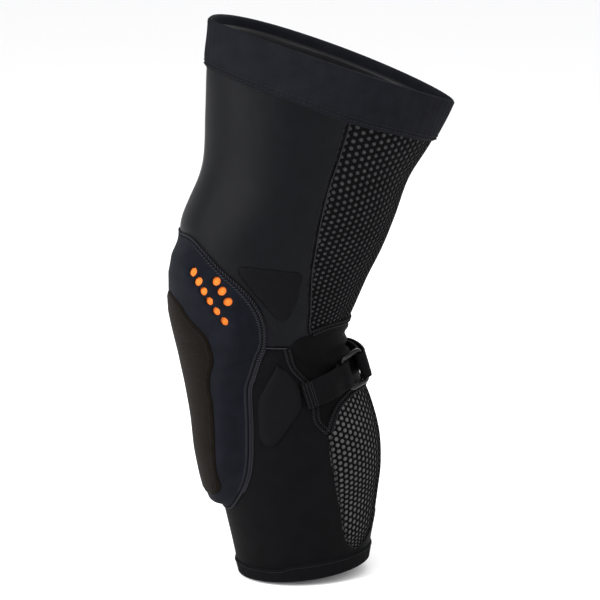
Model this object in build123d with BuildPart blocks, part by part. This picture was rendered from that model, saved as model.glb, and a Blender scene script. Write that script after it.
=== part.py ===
from build123d import *
import math
import os

# Knee guard for a left leg, worn over the knee, in millimetres.
# +Z points up the leg, -Y is the front of the knee and +X the outer side.
# The origin is the knee centre, on the axis about which the sleeve bends.

# ---------------------------------------------------------------- driving dimensions
# Each station of the sleeve: its front point and its rear point in the side view, as
# (y, z), then half its width across X, then how pinched its front and rear corners are.
CUFF_TOP = ((-46.5, 238), (137.5, 171.5), 58, 1.40)
CUFF_BASE = ((-47.5, 205), (123.5, 140), 59.5, 1.30)
SLEEVE_STATIONS = [
    CUFF_BASE,
    ((-47.5, 168), (107, 113), 60, 1.20),
    ((-49.5, 131), (96.5, 86), 59, 1.12),
    ((-58, 102), (86, 62), 57.5, 1.08),
    ((-63.5, 76), (74.5, 40), 56, 1.05),
    ((-63.5, 48), (65.5, 21), 54.5, 1.03),
    ((-62, 20), (58, 4), 53, 1.0),
    ((-56.5, -12), (56, -12), 52, 1.0),
    ((-52, -37), (64, -30), 51, 1.0),
    ((-48, -62), (74.5, -54), 51, 1.0),
    ((-45, -87), (82, -80), 51.5, 1.0),
    ((-41, -112), (84, -105), 50, 1.0),
    ((-35, -134), (82.5, -127), 47, 1.0),
    ((-29, -160), (80, -152), 44.5, 1.0),
    ((-26, -174.5), (78, -166), 43.2, 1.0),
]
HEM_TOP = SLEEVE_STATIONS[-1]
HEM_END = ((-22.5, -188), (76, -178.5), 42, 1.0)
SECTION_POINTS = 20

WALL = 1.8
CUFF_PROUD = 1.5
HEM_PROUD = 1.0
GRIPPER_THICKNESS = 0.8

# The knee pad lies on stations 4 to 12 of the sleeve; how far it stands out in front.
PAD_FIRST_STATION = 4
PAD_STAND = [3, 11, 12, 10.5, 10, 10, 10.5, 9.5, 5]
ABRASION_THICKNESS = 1.0
COVER_THICKNESS = 1.2
SKIN_GAP = 0.15
COVER_SIDE_GROW = 2.2
HOLE_RADIUS = 4.0
HOLE_AXIS_Y = -13.0
# Two columns of perforations a side: first angle from the front, angle step,
# first height, height step, count.
HOLE_COLUMNS = [(21.0, 6.6, 54.0, -6.5, 6), (45.5, 5.4, 50.0, -7.0, 3)]

SIDE_PAD_THICKNESS = 4.0
BINDING_WIDTH = 5.0
BINDING_THICKNESS = 1.2

# Strap and ring, in the tilted plane of the strap, as (x, distance to the rear).
STRAP_WIDTH = 20.0
STRAP_PLY = 1.6
STRAP_TILT = 16.7
STRAP_ORIGIN = (0, 18, -36)
RING_INNER_BAR = (38.5, 32.2)
RING_OUTER_BAR = (30.0, 48.6)
RING_ROD = 3.2
LOOP_CLEARANCE = 0.3
ANCHOR_ROUTE = [(52.4, -5), (52.8, 6), (49.8, 18), (44.1, 26.7)]
BAND_ROUTE = [
    (-52.6, -5), (-52.2, 6), (-49, 16), (-41, 28), (-26, 40.5), (-8, 47.2), (10, 49.4), (26.4, 48.6),
]
TAIL_ROUTE = [(28.2, 51.6), (24.5, 53.3), (10, 53.7), (-6, 51.8), (-18, 48.1)]
# The hook and loop patches, from one x to another, face each other between tail and band.
HOOK_ENDS = (-15.5, 3)
LOOP_ENDS = (-30, 14)
PATCH_THICKNESS = 0.6
PATCH_GAP = 0.1
PATCH_WIDTH = 17.0

# Larger than the guard, for the tools that cut right through it.
REACH = 140.0
TOP = 260.0

# Side-view outlines of the panels, as (y, z).
THIGH_REAR_SEAM = [
    (46, 172), (36, 138), (28.5, 118), (25, 99), (21, 76), (19, 55), (18, 34), (18, 9),
]
THIGH_FRONT_LOWER = [(18, 8), (0.5, 0.9), (-0.5, 0.9), (-20, 5.4)]
COVER_SEAM = [
    (-61, 74), (-57, 76), (-46, 58), (-35, 46), (-26.5, 34), (-21, 22), (-19.5, 12), (-20, 2),
    (-22.5, -5), (-26, -21), (-27.5, -32), (-27, -64), (-27, -88), (-29, -105), (-32.5, -121),
    (-35, -130),
]
PIT_UPPER = [(0.6, -0.1), (18.5, 8), (35, 11.3), (70, 9.5)]
PIT_LOWER = [
    (29.5, -66), (24.5, -60), (22, -54), (21.5, -42), (18, -31), (14, -26), (4.5, -15.5), (0.8, -1.4),
]
CALF_MESH_TOP = [(30.5, -66.3), (33, -60), (39, -51.5), (49, -43.3), (56, -41), (82, -41)]
CALF_MESH_FRONT = [
    (49.5, -160), (44.5, -148), (42, -135), (39, -121), (35, -103), (32, -87), (31.5, -73),
]
CALF_MESH_LOWER = [(90, -139), (76, -147), (66, -161), (56, -166)]
ABRASION_SEAM = [
    (-78, 24), (-66, 17), (-58, 9), (-53, -4), (-52, -20), (-50, -38), (-47, -60), (-44, -84),
    (-40, -106), (-40, -114), (-46, -121), (-60, -124),
]
COVER_REGION = [(-REACH, 74), *COVER_SEAM, (-REACH, -130)]
UPPER_SIDE_PAD = [
    (-29.5, 61.5), (10, 57), (8, 43), (6, 34), (2.5, 26), (-5, 22), (-10.5, 25), (-17.5, 33.5),
    (-30.5, 50.5),
]
LOWER_SIDE_PAD = [
    (-4.5, -14.5), (0.5, -18), (10, -30.5), (11.5, -39.5), (10.5, -46.5), (2, -60.5), (-4.5, -71),
    (-11, -76.5), (-16.5, -73), (-20, -68.5), (-20.5, -40.5), (-17, -32.5), (-9.5, -17.5),
]

os.makedirs("parts", exist_ok=True)


# ---------------------------------------------------------------- helpers
def between(first, second, share):
    """The station that lies the given share of the way from the first to the second."""

    def mix(a, b):
        return a + (b - a) * share

    front = (mix(first[0][0], second[0][0]), mix(first[0][1], second[0][1]))
    rear = (mix(first[1][0], second[1][0]), mix(first[1][1], second[1][1]))
    return (front, rear, mix(first[2], second[2]), mix(first[3], second[3]))


def station_face(station, grow=0.0, stand=0.0, side_grow=0.0):
    """A station's closed section, grown all round and stood out at its front."""
    (front_y, front_z), (rear_y, rear_z), half_width, pinch = station
    length = math.hypot(rear_y - front_y, rear_z - front_z)
    along = ((rear_y - front_y) / length, (rear_z - front_z) / length)
    half_depth = (length + stand) / 2 + grow
    centre = length / 2 - stand / 2
    plane = Plane(
        origin=(0, front_y + along[0] * centre, front_z + along[1] * centre),
        x_dir=(1, 0, 0),
        z_dir=(0, -along[1], along[0]),
    )
    across = half_width + grow + side_grow
    points = []
    for i in range(SECTION_POINTS):
        turn = 2 * math.pi * i / SECTION_POINTS
        side = math.copysign(abs(math.sin(turn)) ** pinch, math.sin(turn))
        points.append((across * side, half_depth * math.cos(turn)))
    with BuildSketch(plane) as face:
        with BuildLine():
            Polyline(*points, close=True)
        make_face()
    return face.sketch


def faces(stations, grow=0.0):
    return [station_face(station, grow) for station in stations]


def pad_faces(stand_change, side_grow):
    """The sections of the knee pad's form, a little outside or inside its full stand."""
    picked = SLEEVE_STATIONS[PAD_FIRST_STATION : PAD_FIRST_STATION + len(PAD_STAND)]
    return [
        station_face(station, 0, max(stand + stand_change, 0.3), side_grow)
        for station, stand in zip(picked, PAD_STAND)
    ]


def side_outline(points):
    """A closed outline in the side view, for cutting through both sides."""
    with BuildSketch(Plane.YZ) as outline:
        with BuildLine():
            Polyline(*points, close=True)
        make_face()
    return outline.sketch


def cut_away(points):
    """Takes everything inside a side-view outline out of the current part."""
    extrude(side_outline(points), amount=REACH, both=True, mode=Mode.SUBTRACT)


def keep_inside(points, reach=REACH, both=True):
    """Keeps what lies inside a side-view outline of the current part."""
    extrude(side_outline(points), amount=reach, both=both, mode=Mode.INTERSECT)


def ribbon(plane, route, thickness, shift=0.0):
    """A strip that follows a route in a plane, as a face with two smooth long sides."""
    left = []
    right = []
    for i, (x, y) in enumerate(route):
        before = route[max(i - 1, 0)]
        after = route[min(i + 1, len(route) - 1)]
        length = math.dist(before, after)
        normal = ((after[1] - before[1]) / length, -(after[0] - before[0]) / length)
        for side, reach in ((left, shift + thickness / 2), (right, shift - thickness / 2)):
            side.append((x + normal[0] * reach, y + normal[1] * reach))
    with BuildSketch(plane) as face:
        with BuildLine():
            Spline(*left)
            Line(left[-1], right[-1])
            Spline(*reversed(right))
            Line(right[0], left[0])
        make_face()
    return face.sketch


def circle_at(plane, centre, radius):
    with BuildSketch(plane) as face:
        with Locations(centre):
            Circle(radius)
    return face.sketch


def finish(builder, label):
    builder.part.label = label
    export_step(builder.part, f"parts/{label}.step")


# ---------------------------------------------------------------- sleeve
with BuildPart() as sleeve:
    loft(faces(SLEEVE_STATIONS), ruled=True)
    loft(faces(SLEEVE_STATIONS, -WALL), ruled=True, mode=Mode.SUBTRACT)

with BuildPart() as thigh_cuff:
    loft(faces([CUFF_TOP, CUFF_BASE], CUFF_PROUD), ruled=True)
    loft(faces([CUFF_TOP, CUFF_BASE], -WALL), ruled=True, mode=Mode.SUBTRACT)
finish(thigh_cuff, "thigh_cuff")

cuff_gripper_ends = [between(CUFF_TOP, CUFF_BASE, share) for share in (0.2, 0.55)]
with BuildPart() as cuff_gripper:
    loft(faces(cuff_gripper_ends, -WALL - SKIN_GAP), ruled=True)
    loft(
        faces(cuff_gripper_ends, -WALL - SKIN_GAP - GRIPPER_THICKNESS),
        ruled=True, mode=Mode.SUBTRACT,
    )
finish(cuff_gripper, "cuff_gripper")

with BuildPart() as calf_hem:
    loft(faces([HEM_TOP, HEM_END], HEM_PROUD), ruled=True)
    loft(faces([HEM_TOP, HEM_END], -WALL), ruled=True, mode=Mode.SUBTRACT)
finish(calf_hem, "calf_hem")

hem_gripper_ends = [between(HEM_TOP, HEM_END, share) for share in (0.25, 0.8)]
with BuildPart() as hem_gripper:
    loft(faces(hem_gripper_ends, -WALL - SKIN_GAP), ruled=True)
    loft(
        faces(hem_gripper_ends, -WALL - SKIN_GAP - GRIPPER_THICKNESS),
        ruled=True, mode=Mode.SUBTRACT,
    )
finish(hem_gripper, "hem_gripper")

with BuildPart() as thigh_front_panel:
    add(sleeve.part)
    cut_away([(100, TOP), *THIGH_REAR_SEAM, (18, -TOP), (REACH, -TOP), (REACH, TOP)])
    cut_away([*THIGH_FRONT_LOWER, (-REACH, 5.4), (-REACH, -TOP), (REACH, -TOP), (REACH, 8)])
    cut_away(COVER_REGION)
finish(thigh_front_panel, "thigh_front_panel")

with BuildPart() as thigh_rear_mesh:
    add(sleeve.part)
    cut_away([
        (-REACH, TOP), (100, TOP), *THIGH_REAR_SEAM, (35, 12), (REACH, 10.2), (REACH, -TOP), (-REACH, -TOP),
    ])
finish(thigh_rear_mesh, "thigh_rear_mesh")

with BuildPart() as knee_pit_panel:
    add(sleeve.part)
    cut_away([
        (-REACH, TOP), (REACH, TOP), (REACH, 9.5), *reversed(PIT_UPPER), *reversed(PIT_LOWER),
        *CALF_MESH_TOP, (REACH, -41), (REACH, -TOP), (-REACH, -TOP),
    ])
finish(knee_pit_panel, "knee_pit_panel")

with BuildPart() as calf_rear_mesh:
    add(sleeve.part)
    cut_away([
        (-REACH, TOP), (REACH, TOP), (REACH, -41), *reversed(CALF_MESH_TOP), *reversed(CALF_MESH_FRONT),
        *reversed(CALF_MESH_LOWER), (REACH, -139), (REACH, -TOP), (-REACH, -TOP),
    ])
finish(calf_rear_mesh, "calf_rear_mesh")

with BuildPart() as shin_panel:
    add(sleeve.part)
    cut_away([
        (-REACH, TOP), (REACH, TOP), (REACH, -41), *reversed(CALF_MESH_TOP), *PIT_LOWER,
        (-0.3, -1.4), (-20, -6), (-REACH, -6),
    ])
    cut_away([*CALF_MESH_TOP, (REACH, -41), (REACH, -139), *CALF_MESH_LOWER, *CALF_MESH_FRONT])
    cut_away(COVER_REGION)
finish(shin_panel, "shin_panel")

# ---------------------------------------------------------------- knee pad
with BuildPart() as pad_liner:
    add(sleeve.part)
    keep_inside([(-REACH, 73), *COVER_SEAM, (-REACH, -129)])
finish(pad_liner, "pad_liner")

cover_inset = -(ABRASION_THICKNESS + COVER_THICKNESS + SKIN_GAP)
with BuildPart() as knee_pad:
    loft(pad_faces(cover_inset, COVER_SIDE_GROW - COVER_THICKNESS - SKIN_GAP), ruled=True)
    loft(faces(SLEEVE_STATIONS, SKIN_GAP), ruled=True, mode=Mode.SUBTRACT)
    keep_inside([(-REACH, 68)] + [(y - 4, z) for y, z in COVER_SEAM[2:-1]] + [(-REACH, -121)])
finish(knee_pad, "knee_pad")

with BuildPart() as pad_cover:
    loft(pad_faces(-ABRASION_THICKNESS, COVER_SIDE_GROW), ruled=True)
    loft(
        pad_faces(-ABRASION_THICKNESS - COVER_THICKNESS, COVER_SIDE_GROW - COVER_THICKNESS),
        ruled=True, mode=Mode.SUBTRACT,
    )
    keep_inside([(-REACH, 73)] + [(y - 1, z) for y, z in COVER_SEAM] + [(-REACH, -129)])
    for first_angle, angle_step, first_height, height_step, count in HOLE_COLUMNS:
        for i in range(count):
            angle = math.radians(first_angle + angle_step * i)
            height = first_height + height_step * i
            for side in (1, -1):
                outward = Plane(
                    origin=(0, HOLE_AXIS_Y, height),
                    x_dir=(0, 0, 1),
                    z_dir=(side * math.sin(angle), -math.cos(angle), 0),
                )
                extrude(circle_at(outward, (0, 0), HOLE_RADIUS), amount=REACH, mode=Mode.SUBTRACT)
finish(pad_cover, "pad_cover")

with BuildPart() as abrasion_panel:
    loft(pad_faces(0, COVER_SIDE_GROW + ABRASION_THICKNESS), ruled=True)
    loft(
        pad_faces(-ABRASION_THICKNESS + SKIN_GAP, COVER_SIDE_GROW + SKIN_GAP),
        ruled=True, mode=Mode.SUBTRACT,
    )
    keep_inside([(-REACH, 24), *ABRASION_SEAM, (-REACH, -124)])
finish(abrasion_panel, "abrasion_panel")

with BuildPart() as cover_binding:
    loft(faces(SLEEVE_STATIONS, SKIN_GAP + BINDING_THICKNESS), ruled=True)
    loft(faces(SLEEVE_STATIONS, SKIN_GAP), ruled=True, mode=Mode.SUBTRACT)
    extrude(
        ribbon(Plane.YZ, COVER_SEAM[1:-1], BINDING_WIDTH, -BINDING_WIDTH / 2),
        amount=REACH, both=True, mode=Mode.INTERSECT,
    )
finish(cover_binding, "cover_binding")

# ---------------------------------------------------------------- side pads
for height_name, pad_outline in (("upper", UPPER_SIDE_PAD), ("lower", LOWER_SIDE_PAD)):
    for side_name, side in (("outer", 1), ("inner", -1)):
        with BuildPart() as side_pad:
            loft(faces(SLEEVE_STATIONS, SKIN_GAP + SIDE_PAD_THICKNESS), ruled=True)
            loft(faces(SLEEVE_STATIONS, SKIN_GAP), ruled=True, mode=Mode.SUBTRACT)
            keep_inside(pad_outline, side * REACH, both=False)
        finish(side_pad, f"{height_name}_{side_name}_side_pad")

# ---------------------------------------------------------------- strap and ring
strap_lean = math.radians(STRAP_TILT)
strap_plane = Plane(
    origin=STRAP_ORIGIN, x_dir=(1, 0, 0), z_dir=(0, -math.sin(strap_lean), math.cos(strap_lean))
)
loop_inner_radius = RING_ROD / math.sqrt(2) + LOOP_CLEARANCE
loop_outer_radius = loop_inner_radius + STRAP_PLY
patch_shift = (STRAP_PLY + PATCH_THICKNESS) / 2 + PATCH_GAP


def looped_strap(routes, bar, ply):
    """The side profile of a strap that is sewn in a loop round a bar of the ring."""
    with BuildSketch(strap_plane) as profile:
        for route in routes:
            add(ribbon(Plane.XY, route, ply))
        with Locations(bar):
            Circle(loop_outer_radius)
            Circle(loop_inner_radius, mode=Mode.SUBTRACT)
    return profile.sketch


def patch_on(route, ends):
    """A hook or loop patch that follows a strap's route, between two x positions."""
    extrude(
        ribbon(strap_plane, route, PATCH_THICKNESS, -patch_shift),
        amount=PATCH_WIDTH / 2, both=True,
    )
    with Locations(((ends[0] + ends[1]) / 2, 0, 0)):
        Box(ends[1] - ends[0], 2 * REACH, 2 * REACH, mode=Mode.INTERSECT)


with BuildPart() as strap_anchor_outer:
    extrude(
        looped_strap([ANCHOR_ROUTE + [RING_INNER_BAR]], RING_INNER_BAR, 2 * STRAP_PLY),
        amount=STRAP_WIDTH / 2, both=True,
    )
    loft(faces(SLEEVE_STATIONS[5:11], SKIN_GAP), ruled=True, mode=Mode.SUBTRACT)
finish(strap_anchor_outer, "strap_anchor_outer")

bar_spacing = math.dist(RING_INNER_BAR, RING_OUTER_BAR)
ring_along = (
    (RING_OUTER_BAR[0] - RING_INNER_BAR[0]) / bar_spacing,
    (RING_OUTER_BAR[1] - RING_INNER_BAR[1]) / bar_spacing,
)
ring_middle = ((RING_INNER_BAR[0] + RING_OUTER_BAR[0]) / 2, (RING_INNER_BAR[1] + RING_OUTER_BAR[1]) / 2)
ring_plane = Plane(
    origin=strap_plane.from_local_coords((ring_middle[0], ring_middle[1], 0)),
    x_dir=strap_plane.x_dir * ring_along[0] + strap_plane.y_dir * ring_along[1],
    z_dir=strap_plane.x_dir * ring_along[1] - strap_plane.y_dir * ring_along[0],
)
with BuildPart() as strap_ring:
    with BuildSketch(ring_plane):
        RectangleRounded(bar_spacing + RING_ROD, STRAP_WIDTH + 1.5 + 2 * RING_ROD, RING_ROD)
        RectangleRounded(bar_spacing - RING_ROD, STRAP_WIDTH + 1.5, 1.2, mode=Mode.SUBTRACT)
    extrude(amount=RING_ROD / 2, both=True)
    ring_faces = strap_ring.faces().sort_by(Axis(ring_plane.origin, ring_plane.z_dir))
    fillet(ring_faces[0].outer_wire().edges() + ring_faces[-1].outer_wire().edges(), 0.8)
finish(strap_ring, "strap_ring")

with BuildPart() as strap_tail:
    extrude(
        looped_strap([[RING_OUTER_BAR, *TAIL_ROUTE]], RING_OUTER_BAR, STRAP_PLY),
        amount=STRAP_WIDTH / 2, both=True,
    )
finish(strap_tail, "strap_tail")

with BuildPart() as strap_band:
    extrude(ribbon(strap_plane, BAND_ROUTE, STRAP_PLY), amount=STRAP_WIDTH / 2, both=True)
    extrude(
        circle_at(strap_plane, RING_OUTER_BAR, loop_outer_radius + SKIN_GAP),
        amount=STRAP_WIDTH, both=True, mode=Mode.SUBTRACT,
    )
finish(strap_band, "strap_band")

with BuildPart() as strap_loop_field:
    patch_on(BAND_ROUTE, LOOP_ENDS)
finish(strap_loop_field, "strap_loop_field")

with BuildPart() as strap_hook_tab:
    patch_on(TAIL_ROUTE, HOOK_ENDS)
finish(strap_hook_tab, "strap_hook_tab")
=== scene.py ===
"""Knee guard for a left leg: the soft pieces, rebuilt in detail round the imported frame."""

import math

import bpy
import numpy as np
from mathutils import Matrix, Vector
from mathutils.geometry import delaunay_2d_cdt


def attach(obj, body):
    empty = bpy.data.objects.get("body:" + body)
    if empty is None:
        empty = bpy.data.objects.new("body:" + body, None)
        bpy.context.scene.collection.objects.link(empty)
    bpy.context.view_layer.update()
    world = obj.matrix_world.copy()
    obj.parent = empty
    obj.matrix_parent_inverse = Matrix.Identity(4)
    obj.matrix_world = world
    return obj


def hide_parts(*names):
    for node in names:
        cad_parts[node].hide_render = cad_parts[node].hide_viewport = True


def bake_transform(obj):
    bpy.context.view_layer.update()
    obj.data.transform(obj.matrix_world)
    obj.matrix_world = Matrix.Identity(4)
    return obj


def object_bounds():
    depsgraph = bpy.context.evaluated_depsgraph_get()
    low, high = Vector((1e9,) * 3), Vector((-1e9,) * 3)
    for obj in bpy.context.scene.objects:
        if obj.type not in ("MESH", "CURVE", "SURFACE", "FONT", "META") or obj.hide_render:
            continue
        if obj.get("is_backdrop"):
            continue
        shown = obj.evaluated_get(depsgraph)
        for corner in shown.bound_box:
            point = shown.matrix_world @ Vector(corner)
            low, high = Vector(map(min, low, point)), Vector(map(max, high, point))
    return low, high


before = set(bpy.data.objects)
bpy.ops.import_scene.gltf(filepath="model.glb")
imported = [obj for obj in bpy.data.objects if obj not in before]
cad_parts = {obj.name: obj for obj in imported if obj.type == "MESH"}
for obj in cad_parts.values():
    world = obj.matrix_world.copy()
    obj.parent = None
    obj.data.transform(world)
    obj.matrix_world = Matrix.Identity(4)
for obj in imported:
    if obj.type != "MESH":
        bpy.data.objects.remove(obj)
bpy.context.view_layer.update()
MM = 0.001

# ---------------------------------------------------------------- the leg form
# The sleeve's stations, as the CAD has them, in millimetres: front point (y, z), rear
# point (y, z), half the width across X, and how pinched its front and rear corners are.
STATIONS = np.array([
    (-46.5, 238, 137.5, 171.5, 58, 1.40),
    (-47.5, 205, 123.5, 140, 59.5, 1.30),
    (-47.5, 168, 107, 113, 60, 1.20),
    (-49.5, 131, 96.5, 86, 59, 1.12),
    (-58, 102, 86, 62, 57.5, 1.08),
    (-63.5, 76, 74.5, 40, 56, 1.05),
    (-63.5, 48, 65.5, 21, 54.5, 1.03),
    (-62, 20, 58, 4, 53, 1.0),
    (-56.5, -12, 56, -12, 52, 1.0),
    (-52, -37, 64, -30, 51, 1.0),
    (-48, -62, 74.5, -54, 51, 1.0),
    (-45, -87, 82, -80, 51.5, 1.0),
    (-41, -112, 84, -105, 50, 1.0),
    (-35, -134, 82.5, -127, 47, 1.0),
    (-29, -160, 80, -152, 44.5, 1.0),
    (-26, -174.5, 78, -166, 43.2, 1.0),
    (-22.5, -188, 76, -178.5, 42, 1.0),
])
LAST = len(STATIONS) - 1
# A flat layout of the form, for even meshing: millimetres per station and per radian.
PER_STATION = 27.0
PER_RADIAN = 56.0
# The sleeve is cut a twentieth smaller round than the leg that wears it.
# The cuff's two corners lie towards the outer side, and settle to the middle by station 2.
CORNER_SHIFT = 13.0
CORNER_SHIFT_END = 2.2
# The cuff's inner side stands a little higher than its outer side.
INNER_RISE = 8.5


def stations_at(k):
    """The stations' values at any k, smoothly between them."""
    k = np.clip(k, 0, LAST)
    i = np.minimum(k.astype(int), LAST - 1)
    f = (k - i)[:, None]
    before, here = STATIONS[np.maximum(i - 1, 0)], STATIONS[i]
    there, after = STATIONS[i + 1], STATIONS[np.minimum(i + 2, LAST)]
    slope_here = np.where((i > 0)[:, None], (there - before) / 2, there - here)
    slope_there = np.where((i < LAST - 1)[:, None], (after - here) / 2, there - here)
    return (
        (2 * f**3 - 3 * f**2 + 1) * here + (f**3 - 2 * f**2 + f) * slope_here
        + (3 * f**2 - 2 * f**3) * there + (f**3 - f**2) * slope_there
    )


def form_point(k, t):
    """Points of the sleeve's outer face, in metres, at station k and angle t from the rear."""
    k, t = np.asarray(k, float), np.asarray(t, float)
    fy, fz, ry, rz, half, pinch = stations_at(k).T
    length = np.hypot(ry - fy, rz - fz)
    along = np.cos(t) * length / 2
    sine = np.sin(t)
    fade = np.clip(1 - k / CORNER_SHIFT_END, 0, 1) ** 1.5
    x = half * np.sign(sine) * np.abs(sine) ** pinch + CORNER_SHIFT * fade * np.abs(np.cos(t)) ** 3
    y = (fy + ry) / 2 + (ry - fy) / length * along
    z = (fz + rz) / 2 + (rz - fz) / length * along + INNER_RISE * fade * np.clip(-sine, 0, 1)
    return np.stack([x, y, z], axis=1) * MM


def form_normal(k, t):
    step_k, step_t = 0.03, 0.03
    over_t = form_point(k, t + step_t) - form_point(k, t - step_t)
    over_k = form_point(np.minimum(k + step_k, LAST), t) - form_point(np.maximum(k - step_k, 0), t)
    normal = np.cross(over_k, over_t)
    normal /= np.linalg.norm(normal, axis=1)[:, None] + 1e-12
    outward = np.stack([np.sin(t), np.cos(t), 0 * t], axis=1)
    return normal * np.sign((normal * outward).sum(axis=1))[:, None]


def on_form(k, t, off):
    """Points that stand off millimetres outside the sleeve's outer face."""
    k, t = np.asarray(k, float), np.asarray(t, float)
    front = np.clip((np.degrees(np.arccos(np.clip(-np.cos(t), -1, 1))) - 75) / -55, 0, 1)
    swell = 4.2 * np.exp(-(((k - 4.65) / 0.8) ** 2)) * front * front * (3 - 2 * front)
    calf = np.interp(k, [6.6, 8, 9, 10, 11, 12, 13, 14.5], [0, 2.4, 3.3, 3.4, 2.9, 2.4, 1.5, 0])
    swell = swell + calf * np.clip(np.cos(t), 0, 1) ** 6
    return form_point(k, t) + form_normal(k, t) * ((np.asarray(off) + swell) * MM)[..., None]


# ---------------------------------------------------------------- small geometry tools
def smooth(points, step=2.0):
    """A Catmull-Rom line through (station, degrees) points, in flat layout millimetres."""
    p = np.array([(a * PER_STATION, math.radians(b) * PER_RADIAN) for a, b in points], float)
    if len(p) < 3:
        n = max(int(np.linalg.norm(p[1] - p[0]) / step), 1)
        return np.linspace(p[0], p[1], n + 1)
    q = np.vstack([2 * p[0] - p[1], p, 2 * p[-1] - p[-2]])
    line = []
    for i in range(1, len(q) - 2):
        a, b, c, d = q[i - 1], q[i], q[i + 1], q[i + 2]
        n = max(int(np.linalg.norm(c - b) / step), 1)
        for f in np.arange(n)[:, None] / n:
            line.append((2 * b + (c - a) * f + (2 * a - 5 * b + 4 * c - d) * f**2
                         + (3 * b - a - 3 * c + d) * f**3) / 2)
    line.append(q[-2])
    return np.array(line)


def inside(points, loop):
    """Which points lie inside a closed loop."""
    x, y = points[:, 0][:, None], points[:, 1][:, None]
    ax, ay = loop[:, 0][None], loop[:, 1][None]
    bx, by = np.roll(loop[:, 0], -1)[None], np.roll(loop[:, 1], -1)[None]
    crosses = (ay > y) != (by > y)
    with np.errstate(divide="ignore", invalid="ignore"):
        at = (bx - ax) * (y - ay) / (by - ay) + ax
    return (crosses & (x < at)).sum(axis=1) % 2 == 1


def distance(points, line, closed=False):
    """How far each point is from a line of short spans."""
    a = line if closed else line[:-1]
    b = np.roll(line, -1, axis=0) if closed else line[1:]
    best = np.full(len(points), 1e9)
    for start, end in zip(a, b):
        span = end - start
        length2 = max(float(span @ span), 1e-12)
        f = np.clip(((points - start) @ span) / length2, 0, 1)
        best = np.minimum(best, np.linalg.norm(points - start - f[:, None] * span, axis=1))
    return best


def region(loop, grid, holes=(), mirror=True):
    """A triangle mesh of a closed loop in the flat layout: points and triangles.

    With mirror, the loop is one half and the other half is its mirror image across the
    leg's front and rear lines, joined where it meets them."""
    loop = np.array(loop)
    keep = np.linalg.norm(loop - np.roll(loop, -1, axis=0), axis=1) > 1e-4
    loop = loop[keep]
    low, high = loop.min(axis=0), loop.max(axis=0)
    rows = []
    for j, v in enumerate(np.arange(low[1] + grid / 2, high[1], grid * 0.866)):
        u = np.arange(low[0] + grid / 2 + (j % 2) * grid / 2, high[0], grid)
        rows.append(np.stack([u, np.full(len(u), v)], axis=1))
    inner = np.vstack(rows) if rows else np.zeros((0, 2))
    inner = inner[inside(inner, loop)]
    inner = inner[distance(inner, loop, closed=True) > grid * 0.45]
    for hole in holes:
        inner = inner[~inside(inner, hole)]
        inner = inner[distance(inner, hole, closed=True) > grid * 0.3]
    points, edges = [loop], [(i, (i + 1) % len(loop)) for i in range(len(loop))]
    count = len(loop)
    for hole in holes:
        points.append(hole)
        edges += [(count + i, count + (i + 1) % len(hole)) for i in range(len(hole))]
        count += len(hole)
    points.append(inner)
    flat = np.vstack(points)
    verts, _, faces, *_ = delaunay_2d_cdt([Vector(p) for p in flat], edges, [], 0, 1e-6)
    verts = np.array([tuple(v) for v in verts])
    faces = np.array([f for f in faces if len(f) == 3])
    middle = verts[faces].mean(axis=1)
    good = inside(middle, loop)
    for hole in holes:
        good &= ~inside(middle, hole)
    faces = faces[good]
    a, b, c = (verts[faces[:, i]] for i in range(3))
    area = (b - a)[:, 0] * (c - a)[:, 1] - (b - a)[:, 1] * (c - a)[:, 0]
    faces = faces[np.abs(area) > 1e-7]
    area = area[np.abs(area) > 1e-7]
    faces[area < 0] = faces[area < 0][:, ::-1]
    if mirror:
        turn = math.pi * PER_RADIAN
        mirrored = verts * (1, -1)
        at_seam = (np.abs(verts[:, 1]) < 1e-5) | (np.abs(verts[:, 1] - turn) < 1e-5)
        index = np.where(at_seam, np.arange(len(verts)), len(verts) + np.arange(len(verts)))
        faces = np.vstack([faces, index[faces][:, ::-1]])
        verts = np.vstack([verts, mirrored])
        used = np.unique(faces)
        renumber = np.full(len(verts), -1)
        renumber[used] = np.arange(len(used))
        verts, faces = verts[used], renumber[faces]
    return verts, faces


def solid(name, outer, inner, faces):
    """A closed mesh from an outer and an inner skin with the same triangles."""
    n = len(outer)
    edges = np.sort(np.vstack([faces[:, [0, 1]], faces[:, [1, 2]], faces[:, [2, 0]]]), axis=1)
    directed = np.vstack([faces[:, [0, 1]], faces[:, [1, 2]], faces[:, [2, 0]]])
    _, first, counts = np.unique(edges, axis=0, return_index=True, return_counts=True)
    rim = directed[first[counts == 1]]
    walls = np.vstack([
        np.stack([rim[:, 1], rim[:, 0], rim[:, 0] + n], axis=1),
        np.stack([rim[:, 1], rim[:, 0] + n, rim[:, 1] + n], axis=1),
    ])
    every = np.vstack([faces, faces[:, ::-1] + n, walls])
    return mesh_object(name, np.vstack([outer, inner]), every)


def mesh_object(name, verts, faces):
    mesh = bpy.data.meshes.new(name)
    faces = np.asarray(faces)
    mesh.vertices.add(len(verts))
    mesh.vertices.foreach_set("co", np.asarray(verts, float).ravel())
    sides = faces.shape[1]
    mesh.loops.add(faces.size)
    mesh.loops.foreach_set("vertex_index", faces.ravel())
    mesh.polygons.add(len(faces))
    mesh.polygons.foreach_set("loop_start", np.arange(len(faces)) * sides)
    mesh.update(calc_edges=True)
    mesh.validate()
    volume_sign(mesh, verts, faces)
    mesh.polygons.foreach_set("use_smooth", [True] * len(mesh.polygons))
    piece = bpy.data.objects.new(name, mesh)
    bpy.context.scene.collection.objects.link(piece)
    return piece


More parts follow.
